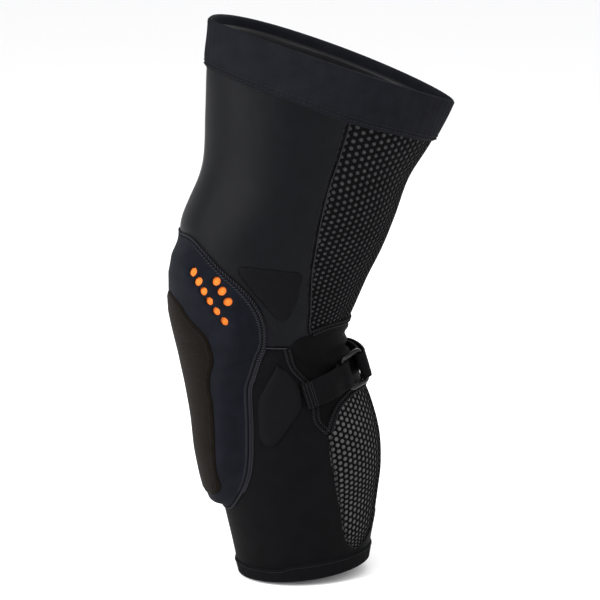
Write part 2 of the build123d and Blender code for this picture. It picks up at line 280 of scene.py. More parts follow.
def volume_sign(mesh, verts, faces):
    """Turns the faces outward if the closed mesh is inside out."""
    v = np.asarray(verts)
    a, b, c = v[faces[:, 0]], v[faces[:, 1]], v[faces[:, 2]]
    total = np.einsum("ij,ij->i", a, np.cross(b, c)).sum()
    if faces.shape[1] == 4:
        d = v[faces[:, 3]]
        total += np.einsum("ij,ij->i", a, np.cross(c, d)).sum()
    if total < 0:
        mesh.flip_normals()


def grid_faces(rows, columns, close_rows=False, close_columns=False):
    """Quads of a grid of points, rows by columns."""
    i = np.arange(rows if close_rows else rows - 1)
    j = np.arange(columns if close_columns else columns - 1)
    i, j = np.meshgrid(i, j, indexing="ij")
    i2, j2 = (i + 1) % rows, (j + 1) % columns
    corners = [i * columns + j, i2 * columns + j, i2 * columns + j2, i * columns + j2]
    return np.stack(corners, axis=-1).reshape(-1, 4)


def tube(path, radius, sides=8, closed=False, squash=1.0):
    """A round tube along points, with round ends."""
    p = np.asarray(path, float)
    ahead = (np.roll(p, -1, axis=0) if closed else np.vstack([p[1:], 2 * p[-1] - p[-2]])) - p
    behind = p - (np.roll(p, 1, axis=0) if closed else np.vstack([2 * p[0] - p[1], p[:-1]]))
    run = ahead + behind
    run /= np.linalg.norm(run, axis=1)[:, None]
    up = np.array([0.31, 0.17, 0.93])
    side = np.cross(run, up)
    side /= np.linalg.norm(side, axis=1)[:, None]
    up = np.cross(side, run)
    turn = np.arange(sides) * 2 * math.pi / sides
    reach = np.full(len(p), radius)
    ring = p[:, None] + reach[:, None, None] * (
        np.cos(turn)[None, :, None] * side[:, None] + squash * np.sin(turn)[None, :, None] * up[:, None]
    )
    if not closed:
        cap = 0.6 * radius
        first = p[0] - run[0] * cap + (ring[0] - p[0]) * 0.55
        last = p[-1] + run[-1] * cap + (ring[-1] - p[-1]) * 0.55
        ring = np.concatenate([[first], ring, [last]])
        rows = len(ring)
        verts = np.vstack([ring.reshape(-1, 3), p[0] - run[0] * radius, p[-1] + run[-1] * radius])
        faces = grid_faces(rows, sides, close_columns=True)
        ends = [(j, (j + 1) % sides, rows * sides) for j in range(sides)]
        last_row = (rows - 1) * sides
        ends += [(last_row + (j + 1) % sides, last_row + j, rows * sides + 1) for j in range(sides)]
        tris = np.vstack([faces[:, [0, 1, 2]], faces[:, [0, 2, 3]], np.array(ends)])
        return verts, tris
    faces = grid_faces(len(ring), sides, close_rows=True, close_columns=True)
    return ring.reshape(-1, 3), np.vstack([faces[:, [0, 1, 2]], faces[:, [0, 2, 3]]])


def gather(name, parts):
    """One object from several (points, triangles) shapes."""
    verts, faces, count = [], [], 0
    for v, f in parts:
        verts.append(v)
        faces.append(np.asarray(f) + count)
        count += len(v)
    return mesh_object(name, np.vstack(verts), np.vstack(faces))


def flat_to_form(points):
    """Station and angle of points in the flat layout."""
    return points[:, 0] / PER_STATION, points[:, 1] / PER_RADIAN


def resample(line, pitch):
    """Points at an even pitch along a line of short spans."""
    spans = np.linalg.norm(np.diff(line, axis=0), axis=1)
    along = np.concatenate([[0], np.cumsum(spans)])
    n = max(int(round(along[-1] / pitch)), 2)
    at = np.linspace(0, along[-1], n + 1)
    return np.stack([np.interp(at, along, line[:, i]) for i in range(line.shape[1])], axis=1)


def beside(line, shift):
    """A line moved sideways in the flat layout; positive lies to its left."""
    run = np.gradient(line, axis=0)
    run /= np.linalg.norm(run, axis=1)[:, None] + 1e-9
    return line + np.stack([-run[:, 1], run[:, 0]], axis=1) * shift


def band(line, profile, off=0.0):
    """A strip along a line of the flat layout, from its cross-section.

    The profile is (sideways, height) pairs in millimetres, round a closed loop."""
    run = np.gradient(line, axis=0)
    run /= np.linalg.norm(run, axis=1)[:, None] + 1e-9
    normal = np.stack([-run[:, 1], run[:, 0]], axis=1)
    profile = np.array(profile, float)
    points = line[:, None] + normal[:, None] * profile[None, :, :1]
    heights = np.broadcast_to(profile[None, :, 1], points.shape[:2]).ravel()
    k, t = flat_to_form(points.reshape(-1, 2))
    lift = off(k, t) if callable(off) else off
    verts = on_form(k, t, heights + lift)
    rows, columns = len(line), len(profile)
    faces = grid_faces(rows, columns, close_columns=True)
    tris = [faces[:, [0, 1, 2]], faces[:, [0, 2, 3]]]
    last = (rows - 1) * columns
    for j in range(1, columns - 1):
        tris.append(np.array([(0, j, j + 1), (last, last + j + 1, last + j)]))
    return verts, np.vstack(tris)


def stitches(line, off, pitch=2.6, length=1.7, radius=0.27, lean=0.0):
    """A row of short thread stitches along a line of the flat layout."""
    parts = []
    centres = resample(line, pitch)
    run = np.gradient(centres, axis=0)
    run /= np.linalg.norm(run, axis=1)[:, None] + 1e-9
    side = np.stack([-run[:, 1], run[:, 0]], axis=1)
    run = run + side * lean
    shares = np.array([-0.5, -0.25, 0.0, 0.25, 0.5])
    sag = np.array([-0.35, 0.12, 0.22, 0.12, -0.35])
    for centre, way in zip(centres, run):
        points = centre + way * (shares * length)[:, None]
        k, t = flat_to_form(points)
        lift = off(k, t) if callable(off) else off
        parts.append(tube(on_form(k, t, lift + sag), radius * MM, sides=6))
    return parts


def both_sides(maker, line, *args, **options):
    """The same shape on the outer side and, mirrored, on the inner side."""
    made = []
    for flip in (1, -1):
        shape = maker(line * (1, flip), *args, **options)
        made += shape if isinstance(shape, list) else [shape]
    return made


# ---------------------------------------------------------------- seams, as (station, degrees from the rear)
REAR_SEAM = [
    (0.97, 84.5), (1.25, 84.5), (2.0, 85), (2.68, 87.3), (3.28, 87), (4.12, 83.5), (4.98, 79.5),
    (5.88, 75.4), (6.8, 71.5), (7.0, 70),
]
PIT_TOP = [(7.0, 70), (6.74, 53), (6.65, 25), (6.62, 0)]
APEX_UP = [(7.5, 88.8), (7.25, 80), (7.0, 70)]
THIGH_FOOT = [(7.5, 107.5), (7.5, 98), (7.5, 88.8)]
PIT_EDGE = [
    (7.5, 88.8), (8.15, 86), (8.7, 80), (8.93, 77.6), (9.4, 78), (9.88, 80.5), (10.12, 79.8), (10.42, 74.5),
]
CALF_TOP = [(10.42, 74.5), (9.81, 63), (9.53, 49), (9.45, 37.5), (9.5, 16), (9.52, 0)]
CALF_EDGE = [
    (10.42, 74.5), (10.62, 75.5), (11.18, 77), (11.8, 75.5), (12.62, 73), (13.23, 70), (13.7, 68),
    (14.38, 61.5), (14.85, 54),
]
CALF_FOOT = [(14.85, 54), (14.55, 39), (13.78, 15.5), (13.65, 0)]
COVER_SEAM = [
    (4.96, 180), (4.97, 159.5), (5.53, 137.5), (5.88, 123.5), (6.25, 114), (6.7, 107.8), (7.1, 106),
    (7.5, 107.5), (7.78, 111.5), (8.4, 119), (8.9, 124.5), (10.2, 130.5), (11.1, 134.5), (11.78, 140.5),
    (12.45, 153), (12.83, 165), (12.93, 180),
]
ABRASION_EDGE = [
    (6.42, 180), (6.6, 164), (6.8, 157.5), (7.0, 150), (7.18, 143.5), (7.4, 140.3), (7.73, 139.5),
    (7.95, 141), (8.3, 145.5), (8.8, 148.6), (9.2, 148.8), (9.93, 151.5), (10.62, 153.5), (11.38, 155.5),
    (11.9, 156.5),
    (12.2, 165), (12.3, 180),
]
HOLES = [
    (5.68, 154.5), (5.87, 149), (6.08, 144), (6.3, 139.3), (6.53, 134.3), (6.76, 129),
    (5.79, 138.5), (6.0, 133.5), (6.24, 128.5),
]
UPPER_PAD = [
    [(5.2, 121), (5.1, 104), (5.02, 88)], [(5.02, 88), (5.1, 85.6), (5.3, 85.2)],
    [(5.3, 85.2), (5.7, 85.3), (6.1, 86), (6.35, 87.5), (6.58, 91), (6.62, 94.5), (6.5, 99), (6.2, 106),
     (5.98, 112), (5.65, 120), (5.45, 124), (5.3, 124.5), (5.2, 121)],
]
LOWER_PAD = [
    [(8.05, 98), (8.13, 94.5), (8.28, 90.5), (8.55, 87.6), (8.88, 85.4), (9.22, 86), (9.53, 89), (10.08, 101),
     (10.45, 109), (10.63, 115), (10.6, 120), (10.33, 123.5), (9.8, 122), (9.22, 118.5), (8.9, 113),
     (8.25, 101),
     (8.05, 98)],
]
PAD_STAND = [0, 3, 11, 12, 10.5, 10, 10, 10.5, 9.5, 5.5, 0]
PAD_STAND_FROM = 4

cover_line = smooth(COVER_SEAM)
rear_line = smooth(REAR_SEAM)
foot_line = smooth(THIGH_FOOT)
apex_line = smooth(APEX_UP)
pit_line = smooth(PIT_EDGE)
calf_top_line = smooth(CALF_TOP)
calf_edge_line = smooth(CALF_EDGE)
calf_foot_line = smooth(CALF_FOOT)
pit_top_line = smooth(PIT_TOP)
foot_index = int(np.argmin(np.linalg.norm(cover_line - foot_line[0], axis=1)))
cover_upper, cover_lower = cover_line[: foot_index + 1], cover_line[foot_index:]
foot_line[0] = cover_line[foot_index]


def ramp(value, start, end):
    f = np.clip((value - start) / (end - start), 0, 1)
    return f * f * (3 - 2 * f)


def cover_height(k, t):
    """How far the pad's cover stands off the sleeve, in millimetres."""
    flat = np.stack([k * PER_STATION, np.abs(t) * PER_RADIAN], axis=1)
    stand = np.interp(k, PAD_STAND_FROM + np.arange(len(PAD_STAND)), PAD_STAND)
    stand = np.where(k > 12, 9.5 - 2.2 * (k - 12), stand)
    edge = distance(flat, cover_line)
    edge = np.where(inside(flat, cover_loop), edge, -edge)
    width = 18 - 9 * ramp(k, 11.8, 12.8)
    rise = np.clip(edge / width, 0, 1)
    crease = 0.9 * np.exp(-((k - 7.92 - (t_degrees(t) - 126.5) * 0.017) / 0.07) ** 2) * np.exp(
        -((t_degrees(t) - 125) / 8) ** 2
    )
    return 1.0 + stand * rise * rise * (3 - 2 * rise) - 1.7 * crease


def t_degrees(t):
    return np.degrees(np.abs(t))


def half_turn(k_start, k_end):
    """The front line of the leg between two stations, in the flat layout."""
    return smooth([(k_start, 180), (k_end, 180)])


cover_loop = np.vstack([cover_line[:-1], half_turn(COVER_SEAM[-1][0], COVER_SEAM[0][0])])


# ---------------------------------------------------------------- surface detail
def wrinkles(k, t, amount=1.0):
    """Slack in the fabric: a fan of creases round the joint's apex and soft waves beyond."""
    u, v = k * PER_STATION, np.abs(t) * PER_RADIAN
    du, dv = u - 7.5 * PER_STATION, v - math.radians(88.8) * PER_RADIAN
    reach = np.hypot(du, dv) + 1e-6
    turn = np.arctan2(dv, du)
    side = np.sign(t)
    fan = np.sin(turn * 9 + 1.7 * np.sin(turn * 2.3 + side)) * np.exp(-((reach - 20) / 22) ** 2)
    waves = 0.45 * np.sin(u / 11 + 1.4 * np.sin(v / 23 + side * 0.7)) * np.sin(v / 17 + u / 37 + side)
    return amount * (0.55 * fan + 0.35 * waves)


def calm(k, t, flat):
    """1 over the shin and 0 next to the calf's net, which lies smooth."""
    folded = np.stack([flat[:, 0], np.abs(flat[:, 1])], axis=1)
    return ramp(np.minimum(distance(folded, calf_edge_line), distance(folded, calf_foot_line)), 1, 12)


def edge_dip(flat, lines, depth=0.5, width=3.0):
    """How far fabric sinks next to its seams."""
    folded = np.stack([flat[:, 0], np.abs(flat[:, 1])], axis=1)
    nearest = np.full(len(flat), 1e9)
    for line in lines:
        nearest = np.minimum(nearest, distance(folded, line))
    return depth * np.exp(-((nearest / width) ** 2))


def panel(name, loop, grid, top, thickness, holes=(), mirror=True):
    """A fabric panel from its outline in the flat layout."""
    flat, tris = region(loop, grid, holes, mirror)
    k, t = flat_to_form(flat)
    height = top(k, t, flat)
    obj = solid(name, on_form(k, t, height), on_form(k, t, height - thickness), tris)
    layout_map(obj, np.vstack([flat, flat]))
    return obj


def layout_map(obj, flat):
    """Keeps the flat layout, in metres, as the map that weaves are drawn along."""
    layer = obj.data.uv_layers.new(name="layout")
    index = np.zeros(len(obj.data.loops), int)
    obj.data.loops.foreach_get("vertex_index", index)
    layer.data.foreach_set("uv", (flat[index] * MM).astype(np.float32).ravel())


def hoop(name, k_start, k_end, outer, inner, rows=14, columns=300, ribs=None):
    """A closed band round the leg with rounded edges; heights in millimetres."""
    share = np.linspace(0, 1, rows)
    profile = []
    rise = np.sqrt(np.clip(1 - (2 * share - 1) ** 8, 0, 1))
    for f, r in zip(share, rise):
        profile.append((f, (outer + inner) / 2 + (outer - inner) / 2 * r))
    for f, r in zip(share[::-1][1:-1], rise[::-1][1:-1]):
        profile.append((f, (outer + inner) / 2 - (outer - inner) / 2 * r))
    profile = np.array(profile)
    turn = np.linspace(0, 2 * math.pi, columns, endpoint=False)
    f, t = np.meshgrid(profile[:, 0], turn, indexing="ij")
    height = np.repeat(profile[:, 1][:, None], columns, axis=1)
    low = k_start(t.ravel()).reshape(t.shape) if callable(k_start) else k_start
    high = k_end(t.ravel()).reshape(t.shape) if callable(k_end) else k_end
    k = low + (high - low) * f
    if ribs is not None:
        height = height + ribs(k, t, f) * (np.arange(len(profile)) < rows)[:, None]
    verts = on_form(k.ravel(), t.ravel(), height.ravel())
    faces = grid_faces(len(profile), columns, close_rows=True, close_columns=True)
    obj = mesh_object(name, verts, np.vstack([faces[:, [0, 1, 2]], faces[:, [0, 2, 3]]]))
    signed = np.where(t > math.pi, t - 2 * math.pi, t)
    layout_map(obj, np.stack([k.ravel() * PER_STATION, signed.ravel() * PER_RADIAN], axis=1))
    return obj


def net(name, loop, pitch, hole, top, thickness, margin):
    """An open mesh fabric of rounded six-sided cells inside an outline."""
    loop = np.array(loop)
    low, high = loop.min(axis=0), loop.max(axis=0)
    rows = []
    for j, v in enumerate(np.arange(-high[1], high[1], pitch * 0.866)):
        u = np.arange(low[0], high[0], pitch) + (j % 2) * pitch / 2
        rows.append(np.stack([u, np.full(len(u), v)], axis=1))
    centres = np.vstack(rows)
    folded = np.stack([centres[:, 0], np.abs(centres[:, 1])], axis=1)
    whole = loop.copy()
    whole[:, 1] = np.where(whole[:, 1] < 1e-4, -20, whole[:, 1])
    keep = inside(folded, whole)
    edge = np.array([p for p in loop if p[1] > 1e-4])
    keep &= distance(folded, edge) > margin
    centres = centres[keep]
    corners = np.radians(np.arange(6) * 60 + 30)
    hexagon = np.stack([np.cos(corners), np.sin(corners)], axis=1) * pitch / math.sqrt(3)
    rim = np.empty((12, 2))
    rim[0::2] = hexagon
    rim[1::2] = (hexagon + np.roll(hexagon, -1, axis=0)) / 2
    away = np.linalg.norm(rim, axis=1)[:, None]
    opening = rim / away * hole * np.where(np.arange(12)[:, None] % 2 == 0, 1.04, 1.0)
    middle = rim * 0.42 + opening * 0.58
    module = np.vstack([rim, middle, opening])
    flat = (centres[:, None] + module[None]).reshape(-1, 2)
    level = np.tile(np.repeat([1.0, 0.8, 0.25], 12), len(centres))
    i, j = np.arange(12), (np.arange(12) + 1) % 12
    ring = np.vstack([
        np.stack([i, j, i + 12], axis=1), np.stack([j, j + 12, i + 12], axis=1),
        np.stack([i + 12, j + 12, i + 24], axis=1), np.stack([j + 12, j + 24, i + 24], axis=1),
    ])
    tris = (ring[None] + (np.arange(len(centres)) * 36)[:, None, None]).reshape(-1, 3)
    key = np.round(flat * 200).astype(np.int64)
    _, first, index = np.unique(key, axis=0, return_index=True, return_inverse=True)
    flat, level, tris = flat[first], level[first], index.ravel()[tris]
    k, t = flat_to_form(flat)
    height = top(k, t, flat)
    a, b, c = (flat[tris[:, n]] for n in range(3))
    turned = (b - a)[:, 0] * (c - a)[:, 1] - (b - a)[:, 1] * (c - a)[:, 0] < 0
    tris[turned] = tris[turned][:, ::-1]
    obj = solid(name, on_form(k, t, height - 0.5 * (1 - level)), on_form(k, t, height - thickness), tris)
    layout_map(obj, np.vstack([flat, flat]))
    return obj


# ---------------------------------------------------------------- materials
def shader(name, build):
    material = bpy.data.materials.new(name)
    material.use_nodes = True
    nodes, links = material.node_tree.nodes, material.node_tree.links
    build(nodes, links, nodes["Principled BSDF"])
    return material


def math_node(nodes, links, operation, a, b):
    node = nodes.new("ShaderNodeMath")
    node.operation = operation
    for socket, value in zip(node.inputs, (a, b)):
        if isinstance(value, (int, float)):
            socket.default_value = value
        else:
            links.new(value, socket)
    return node.outputs[0]


def colour(grey):
    """A linear colour from three sRGB levels, 0 to 255."""
    parts = [c * 0.58 / 255 if max(grey) < 150 else c / 255 for c in grey]
    return [c / 12.92 if c <= 0.04045 else ((c + 0.055) / 1.055) ** 2.4 for c in parts] + [1]


def noise(nodes, links, scale, detail):
    """A grain fixed to the piece."""
    node = nodes.new("ShaderNodeTexNoise")
    node.inputs["Scale"].default_value = scale
    node.inputs["Detail"].default_value = detail
    links.new(nodes.new("ShaderNodeTexCoord").outputs["Object"], node.inputs["Vector"])
    return node.outputs[0]


def tint(nodes, links, source, tones, stops, bsdf):
    """Colours the surface from one tone to another."""
    node = nodes.new("ShaderNodeValToRGB")
    for element, stop, tone in zip(node.color_ramp.elements, stops, tones):
        element.position = stop
        element.color = colour(tone)
    links.new(source, node.inputs[0])
    links.new(node.outputs[0], bsdf.inputs["Base Color"])


def emboss(nodes, links, source, strength, distance_metres, bsdf):
    bump = nodes.new("ShaderNodeBump")
    bump.inputs["Strength"].default_value = strength
    bump.inputs["Distance"].default_value = distance_metres
    links.new(source, bump.inputs["Height"])
    links.new(bump.outputs[0], bsdf.inputs["Normal"])


def polish(bsdf, rough, shine, coat, coat_rough):
    bsdf.inputs["Roughness"].default_value = rough
    bsdf.inputs["Specular IOR Level"].default_value = shine
    bsdf.inputs["Coat Weight"].default_value = coat
    bsdf.inputs["Coat Roughness"].default_value = coat_rough


def fabric(name, low, high, across=0.7, along=0.7, slant=0.0, depth=0.6, rough=0.75, sheen=0.0144,
           sheen_tint=(1, 1, 1), shine=0.025):
    """Knitted or woven cloth: two crossing rows of yarn, in millimetres, with mottling."""

    def build(nodes, links, bsdf):
        def maths(operation, a, b):
            return math_node(nodes, links, operation, a, b)

        layout = nodes.new("ShaderNodeUVMap")
        layout.uv_map = "layout"
        parts = nodes.new("ShaderNodeSeparateXYZ")
        links.new(layout.outputs[0], parts.inputs[0])
        u, v = parts.outputs[0], parts.outputs[1]
        leaning = maths("ADD", u, maths("MULTIPLY", v, slant))
        rows = maths("SINE", maths("MULTIPLY", leaning, 2000 * math.pi / along), 0)
        columns = maths("SINE", maths("MULTIPLY", v, 2000 * math.pi / across), 0)
        weave = maths("MULTIPLY", rows, columns)
        fuzz, mottle = noise(nodes, links, 1400, 3), noise(nodes, links, 90, 4)
        relief = maths("ADD", maths("MULTIPLY", weave, 0.5), maths("MULTIPLY", fuzz, 0.8))
        emboss(nodes, links, relief, depth, 0.00022, bsdf)
        blend = maths("ADD", maths("MULTIPLY", weave, 0.22), maths("MULTIPLY", mottle, 0.9))
        tint(nodes, links, blend, (low, high), (0.2, 0.8), bsdf)
        bsdf.inputs["Sheen Weight"].default_value = sheen
        bsdf.inputs["Sheen Roughness"].default_value = 0.45
        bsdf.inputs["Sheen Tint"].default_value = (*sheen_tint, 1)
        polish(bsdf, rough, shine, 0.0, 0.45)

    return shader(name, build)


def moulded(name, low, high, rough, grain=500.0, depth=0.25, coat=0.0, shine=0.15):
    """Rubber, foam, thread or plastic: a grain and a slight mottling."""

    def build(nodes, links, bsdf):
        grains = noise(nodes, links, grain, 5)
        tint(nodes, links, grains, (low, high), (0.3, 0.75), bsdf)
        emboss(nodes, links, grains, depth, 0.0002, bsdf)
        polish(bsdf, rough, shine, coat, 0.2)

    return shader(name, build)


elastic_cloth = fabric("elastic", (26, 27, 34), (38, 39, 47), across=1.1, along=1.6, depth=0.8,
                       sheen=0.012, rough=0.7)
stretch_cloth = fabric("stretch", (11, 12, 16), (18, 19, 24), across=0.6, along=0.5, depth=0.35, rough=0.36,
                       shine=0.06)
shin_cloth = fabric("shin_stretch", (11, 11, 13), (18, 18, 21), across=0.6, along=0.5, rough=0.6,
                    sheen=0.0072)
net_cloth = fabric("net", (7, 7, 8), (13, 13, 15), across=0.5, along=0.5, rough=0.6, sheen=0.0048)
thigh_backing = fabric("thigh_net_backing", (80, 80, 84), (112, 112, 116), across=0.5, along=0.5, rough=0.8)
calf_backing = fabric("calf_net_backing", (118, 118, 121), (149, 149, 149), across=0.5, along=0.5, rough=0.8)
pit_cloth = fabric("pit_stretch", (8, 8, 9), (14, 14, 16), across=0.6, along=0.5, rough=0.6, sheen=0.0058)
cover_cloth = fabric("cover_weave", (19, 21, 30), (31, 34, 45), across=0.9, along=0.8, slant=0.5, depth=0.9,
                     rough=0.65, sheen=0.0144)
liner_cloth = fabric("liner_weave", (16, 16, 19), (26, 26, 30), across=0.8, along=0.8, rough=0.85)
abrasion_cloth = fabric("abrasion_weave", (15, 10, 6), (27, 19, 12), across=1.3, along=1.3, slant=0.6,
                        depth=1.0, rough=0.6, sheen=0.0096, sheen_tint=(1, 0.85, 0.7))
hem_cloth = fabric("hem_elastic", (14, 14, 16), (22, 22, 25), across=0.9, along=1.4, depth=0.8, sheen=0.0072)
tape_cloth = fabric("seam_tape", (13, 13, 16), (23, 23, 28), across=0.8, along=0.9, depth=0.9, rough=0.6)
webbing_cloth = fabric("webbing", (9, 9, 11), (20, 20, 23), across=1.4, along=1.0, slant=0.4, depth=1.0,
                       rough=0.6)
hook_cloth = moulded("hook_and_loop", (8, 8, 9), (22, 22, 25), 0.9, grain=1500, depth=1.0)
pad_rubber = moulded("side_pad_rubber", (12, 12, 14), (18, 18, 21), 0.6, grain=700, depth=0.35, shine=0.04)
foam_orange = moulded("foam", (196, 88, 24), (228, 122, 46), 0.8, grain=1100, depth=0.6)
# Pale thread: the real colour of the cover seam's stitches, and also a painted highlight where it colours the
# side and cover pipings
thread = moulded("thread", (42, 42, 50), (66, 66, 76), 0.6, grain=1800, depth=0.4)
dark_thread = moulded("dark_thread", (20, 20, 24), (34, 34, 40), 0.6, grain=1800, depth=0.4)
silicone = moulded("silicone", (30, 30, 33), (40, 40, 44), 0.35, grain=200, depth=0.15)
ring_plastic = moulded("ring_plastic", (8, 8, 9), (14, 14, 15), 0.25, grain=900, depth=0.12, coat=0.1,
                       shine=0.2)


def place(obj, material, body=None, node=None):
    """Gives a piece its finish and its body, and hides the CAD parts of the node that it stands for."""
    obj.data.materials.clear()
    obj.data.materials.append(material)
    if node:
        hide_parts(*([node] if isinstance(node, str) else node))
    if body == "knee":
        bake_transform(obj)
    elif body:
        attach(obj, body)
    return obj


def cloth(obj):
    """Reads a panel's layout map back as stations and angles round the leg, and returns the panel unchanged."""
    obj.data.calc_loop_triangles()
    loops = np.zeros(len(obj.data.loop_triangles) * 3, int)
    obj.data.loop_triangles.foreach_get("loops", loops)
    flat = np.zeros(len(obj.data.loops) * 2, np.float32)
    obj.data.uv_layers["layout"].data.foreach_get("uv", flat)
    k, t = flat_to_form(flat.reshape(-1, 2)[loops] / MM)
    if np.abs(t).min() > 0.3:
        t = np.mod(t, 2 * math.pi)      # a front piece is counted across the front, not across the rear
    return obj


# ---------------------------------------------------------------- cuff and hem
def cuff_foot(t):
    degrees = np.degrees(np.abs(np.where(t > math.pi, t - 2 * math.pi, t)))
    return np.interp(degrees, [0, 12.5, 57.5, 85, 110, 136.5, 180], [0.95, 0.98, 1.05, 1.13, 1.1, 1.12, 1.08])


def cuff_ribs(k, t, f):
    rib = 0.13 * np.sin(t * 330)
    rolled = 0.5 * np.exp(-((f - 0.04) / 0.05) ** 2)
    groove = -0.35 * np.exp(-((f - 0.86) / 0.02) ** 2) - 0.35 * np.exp(-((f - 0.93) / 0.02) ** 2)
    soft = 0.35 * np.sin(t * 5 + k * 4) * np.sin(f * 3.1)
    return rib + rolled + groove + soft


cuff = hoop("cuff", 0.0, cuff_foot, 1.9, -1.7, rows=26, columns=720, ribs=cuff_ribs)
place(cuff, elastic_cloth, "thigh", "thigh_cuff")
cloth(cuff)
turn_line = np.radians(np.linspace(-180, 180, 400)) * PER_RADIAN
cuff_seams = []
for share in (0.86, 0.93):
    at = cuff_foot(turn_line / PER_RADIAN) * share * PER_STATION
    cuff_seams += stitches(np.stack([at, turn_line], axis=1)[1:-1], 1.85, pitch=2.7, length=1.9)
place(gather("cuff_stitches", cuff_seams), dark_thread, "thigh")
cuff_grip = hoop("cuff_grip", 0.2, 0.55, -1.95, -2.75, rows=6, columns=200)
place(cuff_grip, silicone, "thigh", "cuff_gripper")


def hem_top(t):
    degrees = np.degrees(np.where(t > math.pi, t - 2 * math.pi, t))
    edge = [15.02, 14.98, 14.95, 15.0, 15.2, 15.12, 15.1]
    return np.interp(np.abs(degrees), [0, 60, 83, 113, 122, 167, 180], edge)


def hem_ribs(k, t, f):
    rib = 0.1 * np.sin(t * 300)
    lip = 0.35 * np.exp(-((f - 0.96) / 0.05) ** 2)
    groove = -0.3 * np.exp(-((f - 0.16) / 0.05) ** 2)
    return rib + lip + groove


hem = hoop("hem", hem_top, 16.0, 1.2, -1.7, rows=16, columns=640, ribs=hem_ribs)
place(hem, hem_cloth, "shin", "calf_hem")
cloth(hem)
at = (hem_top(turn_line / PER_RADIAN) + 0.16) * PER_STATION
place(
    gather("hem_stitches", stitches(np.stack([at, turn_line], axis=1)[1:-1], 1.15, pitch=2.7, length=1.8)),
    dark_thread, "shin",
)
hem_grip = hoop("hem_grip", 15.25, 15.8, -1.95, -2.75, rows=6, columns=180)
place(hem_grip, silicone, "shin", "hem_gripper")

# ---------------------------------------------------------------- sleeve panels
front_top = smooth([(0.9, 180), (0.9, 84.5)])
thigh_front_loop = np.vstack([
    front_top, rear_line[1:], apex_line[::-1][1:], foot_line[::-1][1:], cover_upper[::-1][1:],
    half_turn(COVER_SEAM[0][0], 0.9)[1:-1],
])
thigh_lines = [rear_line, foot_line, cover_upper]
thigh_front = panel(
    "thigh_front", thigh_front_loop, 2.8,
    lambda k, t, flat: wrinkles(k, t, 0.8) - edge_dip(flat, thigh_lines), 1.6,
)
place(thigh_front, stretch_cloth, "knee", "thigh_front_panel")
cloth(thigh_front)


def centre(k_start, k_end):
    return smooth([(k_start, 0), (k_end, 0)])


rear_loop = np.vstack([
    smooth([(0.9, 0), (0.9, 84.5)]), rear_line[1:], pit_top_line[1:], centre(6.62, 0.9)[1:-1],
])
thigh_back = panel(
    "thigh_rear_backing", rear_loop, 3.6, lambda k, t, flat: wrinkles(k, t, 0.8) - 0.95, 0.8,
)
place(thigh_back, thigh_backing, "knee", "thigh_rear_mesh")
cloth(thigh_back)
thigh_net = net(
    "thigh_rear_net", rear_loop, 4.4, 1.25, lambda k, t, flat: wrinkles(k, t, 0.8) - 0.15, 0.75, 0.2,
)
place(thigh_net, net_cloth, "knee", "thigh_rear_mesh")
cloth(thigh_net)


def pit_folds(k, t, flat):
    """Deep slanting folds that run down from the apex towards the strap, and across the rear."""
    edge = np.abs(flat[:, 1])
    folded = np.stack([flat[:, 0], edge], axis=1)
    near = np.minimum(distance(folded, pit_line), distance(folded, pit_top_line))
    slant = flat[:, 0] * 0.55 + edge * 0.42
    fold = np.sin(slant / 3.1 + 0.9 * np.sin(flat[:, 0] / 9)) * (0.6 + 0.4 * np.sin(edge / 8))
    fold = np.sign(fold) * np.abs(fold) ** 0.75
    across = np.sin(k * 9.2 + 0.8 * np.sin(2 * t)) * np.clip(np.cos(t), 0, 1) ** 2
    folds = 0.9 * fold * (1 - np.clip(np.cos(t), 0, 1)) + 1.1 * across
    return 0.8 * wrinkles(k, t) + folds * ramp(near, 1, 9)


pit_loop = np.vstack([
    pit_top_line[::-1], apex_line[::-1][1:], pit_line[1:], calf_top_line[1:], centre(9.52, 6.62)[1:-1],
])
pit = panel(
    "knee_pit", pit_loop, 2.6,
    lambda k, t, flat: pit_folds(k, t, flat)
    - edge_dip(flat, [pit_line, pit_top_line, calf_top_line]), 1.5,
)
place(pit, pit_cloth, "knee", "knee_pit_panel")
cloth(pit)

calf_loop = np.vstack([
    calf_top_line[::-1], calf_edge_line[1:], calf_foot_line[1:], centre(13.65, 9.52)[1:-1],
])
calf_back = panel("calf_rear_backing", calf_loop, 3.6, lambda k, t, flat: 0 * k - 1.05, 0.75)
place(calf_back, calf_backing, "shin", "calf_rear_mesh")
cloth(calf_back)
calf_net = net("calf_rear_net", calf_loop, 5.0, 1.7, lambda k, t, flat: 0 * k - 0.2, 0.8, -0.6)
place(calf_net, net_cloth, "shin", "calf_rear_mesh")
cloth(calf_net)

shin_loop = np.vstack([
    foot_line, pit_line[1:], calf_edge_line[1:], calf_foot_line[1:], centre(13.65, 15.2)[1:],
    smooth([(15.2, 0), (15.2, 180)])[1:], half_turn(15.2, COVER_SEAM[-1][0])[1:], cover_lower[::-1][1:-1],
])
shin = panel(
    "shin_front", shin_loop, 2.8,
    lambda k, t, flat: calm(k, t, flat) * wrinkles(k, t, 0.7) - edge_dip(flat, [pit_line, cover_lower]), 1.6,
)
place(shin, shin_cloth, "knee", "shin_panel")
cloth(shin)


def flatten_back(obj, loop, grid, lift, mirror=True):
    """Lays the back face of a pad at one height over the form."""
    count = len(obj.data.vertices) // 2
    points = np.array([vertex.co for vertex in obj.data.vertices])
    flat, _ = region(loop, grid, mirror=mirror)
    k, t = flat_to_form(flat)
    points[count:] = on_form(k, t, 0 * k + lift)
    obj.data.vertices.foreach_set("co", points.astype(np.float32).ravel())
    obj.data.update()


# ---------------------------------------------------------------- knee pad
liner = panel("liner", cover_loop, 4.0, lambda k, t, flat: 0 * k - 0.15, 1.5)
place(liner, liner_cloth, "knee", "pad_liner")
cloth(liner)


